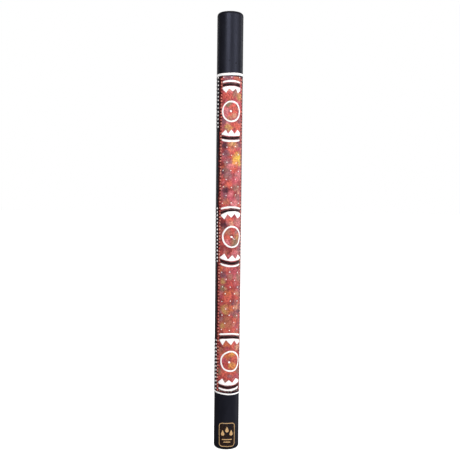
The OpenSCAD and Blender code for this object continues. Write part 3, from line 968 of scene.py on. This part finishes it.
def motif_paint(side, middle, wash, dark):
    """The raised white and dark lines of the three motifs of a panel, and the dots in their circles."""
    arcs, washes, dark_arcs, bands, circles, centres = [], [], [], [], [], []
    for number, ((_, z), lines) in enumerate(zip(MOTIFS, MOTIF_LINES)):
        place = middle, z
        seed = 300 + 20 * number + (100 if side == "back" else 0)
        for (arc_line, dark_line, edge, teeth), up in zip(lines["halves"], (1, -1)):
            seed += 3
            arc = stroke(arc_line, LINE_W, seed)
            under = stroke(dark_line, WASH_W, seed + 5, 0.2 * up)
            over = stroke(dark_line, DARK_W, seed + 9, -0.5 * up)
            band = toothed(edge, teeth, seed + 13)
            arcs.append(raised(place, [arc], RAISED, WHITE_SOFT, seed=seed))
            washes.append(raised(place, [under], 0.12, 1.5, rim=0.03, seed=seed))
            dark_arcs.append(raised(place, [over], 0.32, 1.5, rim=0.1, seed=seed))
            bands.append(raised(place, [band], RAISED, WHITE_SOFT, seed=seed))
        circles.append(raised(place, hoop(*lines["hoop"], seed), RAISED, WHITE_SOFT, seed=seed))
        across, above = lines["dot"]
        centres.append(dome(middle + math.degrees(across / surface_r(z)), z + above, 2.5, 0.85, SKIN, seed))
    make_piece(side + "_dark_arcs_wash", washes, wash)
    make_piece(side + "_dark_arcs_paint", dark_arcs, dark, [side + "_dark_arcs"])
    for name, parts in (("_white_arcs", arcs), ("_toothed_bands", bands), ("_circles", circles),
                        ("_centre_dots", centres)):
        make_piece(side + name + "_paint", parts, WHITE, [side + name])


def brush_tail(middle):
    """The thin tail that the brush left when it lifted off the middle dot of the front panel."""
    points = np.array([(2.6, 0.2), (5, -2.6), (7.5, -4.4), (10.5, -4.9)])
    width = np.array([1.5, 1.1, 0.9, 0.5])[:, None] / 2
    along = np.gradient(points, axis=0)
    side = xy(-along[:, 1], along[:, 0]) / np.hypot(*along.T)[:, None]
    loop = resample(np.vstack([points + side * width, (points - side * width)[::-1]]), 0.5)
    tail = raised((middle, MOTIFS[1][1]), [loop], 0.25, 0.5, rim=0.06, step=0.6)
    make_piece("front_brush_tail", [tail], WHITE)


# ----- label: a plain badge of three raindrops -----

def round_rect(width, height, r):
    """Outline of a rectangle with round corners."""
    loop = []
    for x, y, start in ((1, 1, 0), (-1, 1, 90), (-1, -1, 180), (1, -1, 270)):
        for a in np.radians(np.linspace(start, start + 90, 9)):
            loop.append((x * (width / 2 - r) + r * math.cos(a), y * (height / 2 - r) + r * math.sin(a)))
    return resample(np.array(loop), 0.9)


def raindrop(x, y, r):
    """Outline of a falling drop with a pointed top."""
    around = np.radians(np.linspace(155, 385, 24))
    belly = xy(r * np.cos(around), r * np.sin(around))
    return resample(np.vstack([belly, [(0, 2.4 * r)]]), 0.6) + (x, y)


def label():
    low, high = corners("label_frame")
    place = middle_of((low, high))
    tall = high[2] - low[2]
    wide = 2 * math.radians(direction(node_points("label_frame")).max() - place[0]) * BOTTOM_R
    gold, film = gold_leaf(), label_film()
    base, foil = COAT + 0.02, 0.06
    edge = [round_rect(wide, tall, 8), round_rect(wide - 3, tall - 3, 6.5)[::-1]]
    frame_part = raised(place, edge, foil, 0.4, base, 0.03)
    shapes = [raindrop(-10, 2, 4), raindrop(0, 10, 4), raindrop(10, 2, 4)]
    shapes += [round_rect(24, 2.2, 1) + (0, -11), round_rect(16, 2.2, 1) + (0, -17)]
    drop_parts = [raised(place, [shape], foil, 0.4, base, 0.03, 0.6) for shape in shapes]
    film_part = raised(place, [round_rect(wide - 1, tall - 1, 7.5)], 0.03, 0.4, COAT, 0.02, 2.0)
    make_piece("label_frame_foil", [frame_part], gold, ["label_frame"])
    make_piece("label_drops_foil", drop_parts, gold, ["label_drops"])
    make_piece("label_film", [film_part], film)


# ----- grains -----

# Node, body, slot, its three colours (dark, light, fleck), how far a grain may be flattened, roughness, seed
GRAINS = (
    ("large_pebbles", "large_grains", "dark_pebble", ("5A544C", "8C8478", "2E2A26"), 0.78, 0.16, 1000),
    ("medium_pebbles", "medium_grains", "pale_pebble", ("8E8474", "C4B8A2", "5A5044"), 0.8, 0.14, 2000),
    ("small_seeds", "small_grains", "brown_seed", ("5A3218", "8A5228", "2C160A"), 0.72, 0.06, 3000),
)

def unit_ball(level):
    """Points and faces of a finely divided ball of radius 1."""
    ball = bmesh.new()
    bmesh.ops.create_icosphere(ball, subdivisions=level, radius=1)
    points = np.array([tuple(v.co) for v in ball.verts])
    faces = [tuple(v.index for v in f.verts) for f in ball.faces]
    ball.free()
    return points, faces


def grains(node, body, material, squash, rough, seed):
    """Uneven grains inside the balls of a CAD node; squash flattens them and rough roughens them."""
    ball, faces = unit_ball(3)
    parts = []
    for number, (low, high) in enumerate(solids(node)):
        rng = np.random.default_rng(seed + number)
        centre, r = (low + high) / 2, (high[2] - low[2]) / 2
        turn = np.linalg.qr(rng.normal(size=(3, 3)))[0]
        lumps = 1 - rough * (0.5 + 0.5 * noise(ball + number, 0.7, seed))
        shape = ball * lumps[:, None] * (1, rng.uniform(squash, 1), rng.uniform(squash, 0.95))
        parts.append((centre + 0.99 * r * shape @ turn, faces, np.ones(len(ball))))
    make_piece(node + "_worn", parts, material, [node], body=body)


# ----- stage, in metres -----

# Soft boxes: name, angle round the stick, distance from it, height, width and height of the box, watts
LIGHTS = (
    ("key", -15, 2.3, 1.75, 1.2, 1.5, 32),
    ("fill", 50, 2.6, 1.5, 3.2, 1.8, 26),
    ("accent", 50, 2.0, 1.35, 0.4, 1.3, 5),
    ("rim_right", 125, 1.8, 0.9, 0.5, 1.6, 4),
    ("rim_left", -140, 1.8, 0.7, 0.5, 1.8, 2.5),
    ("low_right", 105, 1.5, 0.3, 0.6, 0.5, 8),
)
AIM_Z = 0.55

# Camera: its place, its lens in millimetres, and its tilt up and roll in degrees
EYE = 0.0041, -1.750, 0.585
LENS = 58.42
TILT, ROLL = -2.337, 0.60

def stage_light(name, angle, away, z, width, height, watts):
    """A soft box at an angle round the stick, aimed at the middle of it."""
    data = bpy.data.lights.new(name, "AREA")
    data.shape = "RECTANGLE"
    data.size, data.size_y = width, height
    data.energy = watts
    light = new_object(name, data)
    turn = math.radians(angle)
    light.location = away * math.sin(turn), -away * math.cos(turn), z
    aim = Vector((0, 0, AIM_Z)) - light.location
    light.rotation_mode = "QUATERNION"
    light.rotation_quaternion = aim.to_track_quat("-Z", "Y")


def bright_world():
    """White where the camera sees it, and softer where it only lights the stick."""
    world = bpy.data.worlds.new("studio")
    bpy.context.scene.world = world
    world.use_nodes = True
    n = Nodes(world.node_tree)
    path = n.add("LightPath").outputs
    lit = n.add("MapRange", {"Value": path["Is Glossy Ray"], "To Min": 0.45, "To Max": 0.06}).outputs[0]
    background = world.node_tree.nodes["Background"].inputs
    n.put(background["Color"], "FFFFFF")
    n.put(background["Strength"], n.math("MAXIMUM", lit, path["Is Camera Ray"]))


def pale_floor(level):
    """A wide white floor that barely shows in reflections."""
    f = Finish("pale_floor")
    path = f.add("LightPath")
    colour = f.shades(f.noise(300, 2), "F3F3F2", "FAFAFA")
    colour = f.mix(path.outputs["Is Glossy Ray"], colour, "303032")
    glow = f.times(path.outputs["Is Camera Ray"], 0.8)
    f.done(colour, 0.9, Emission_Color="FFFFFF", Emission_Strength=glow)
    mesh = bpy.data.meshes.new("floor")
    size = 30.0
    square = [(x * size, y * size, level) for x, y in ((-1, -1), (1, -1), (1, 1), (-1, 1))]
    mesh.from_pydata(square, [], [(0, 1, 2, 3)])
    mesh.materials.append(f.material)
    new_object("floor", mesh)


def camera():
    """The camera stands in front, a little above the middle of the stick, and looks slightly down."""
    data = bpy.data.cameras.new("camera")
    data.sensor_width = 36
    data.lens = LENS
    data.clip_start, data.clip_end = 0.05, 100
    eye = new_object("camera", data)
    eye.location = EYE
    eye.rotation_mode = "QUATERNION"
    level = Vector((0, 1, 0)).to_track_quat("-Z", "Y").to_matrix()
    turned = level @ Matrix.Rotation(math.radians(TILT), 3, "X") @ Matrix.Rotation(math.radians(ROLL), 3, "Z")
    eye.rotation_quaternion = turned.to_quaternion()
    bpy.context.scene.camera = eye


def cad_finishes():
    """Materials for the CAD nodes that stay: the tube, its plugs and the pins."""
    wood = turned_wood()
    finishes = {"bamboo_tube": bamboo(), "top_plug": wood, "bottom_plug": wood, "rattle_pins": pin_wood()}
    for node, material in finishes.items():
        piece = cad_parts[node]
        piece.data.materials.clear()
        piece.data.materials.append(material)


# ----- the scene -----

cad_finishes()
lacquer_coat()
pin_marks()
ring_paint("upper_ring", UPPER_RING, 0.2, lambda right: 1.2 * right, 20)
ring_paint("lower_ring", LOWER_RING, 0.8, lambda right: 0.4 - 1.8 * right + 1.9 * right ** 2, 25)

sponge_finish, maroon_finish, salmon_finish = sponged(), maroon(), salmon()
wash_finish, dark_finish = dark_wash(), dark_brushed()
for side, middle, seed in (("front", FRONT, 1), ("back", BACK, 2)):
    panel_paint(side, middle, sponge_finish)
    border_paint(side, middle, maroon_finish)
    motif_paint(side, middle, wash_finish, dark_finish)
    dots(side + "_border_beads", BEAD, SKIN, salmon_finish, 10 * seed + 1, follow_edge)
    dots(side + "_scatter_dots", SMALL_DOT, SKIN, WHITE, 10 * seed + 2)
brush_tail(FRONT)
for node, seed in (("left_column_dots", 31), ("right_column_dots", 32)):
    dots(node, COLUMN_DOT, COAT, WHITE, seed, nearer_panel)
label()

for node, body, slot, shades, squash, rough, seed in GRAINS:
    grains(node, body, stone(slot, *shades), squash, rough, seed)

bright_world()
camera()
for light in LIGHTS:
    stage_light(*light)
bpy.context.scene.view_settings.view_transform = "Standard"

low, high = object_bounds()
pale_floor(low.z)
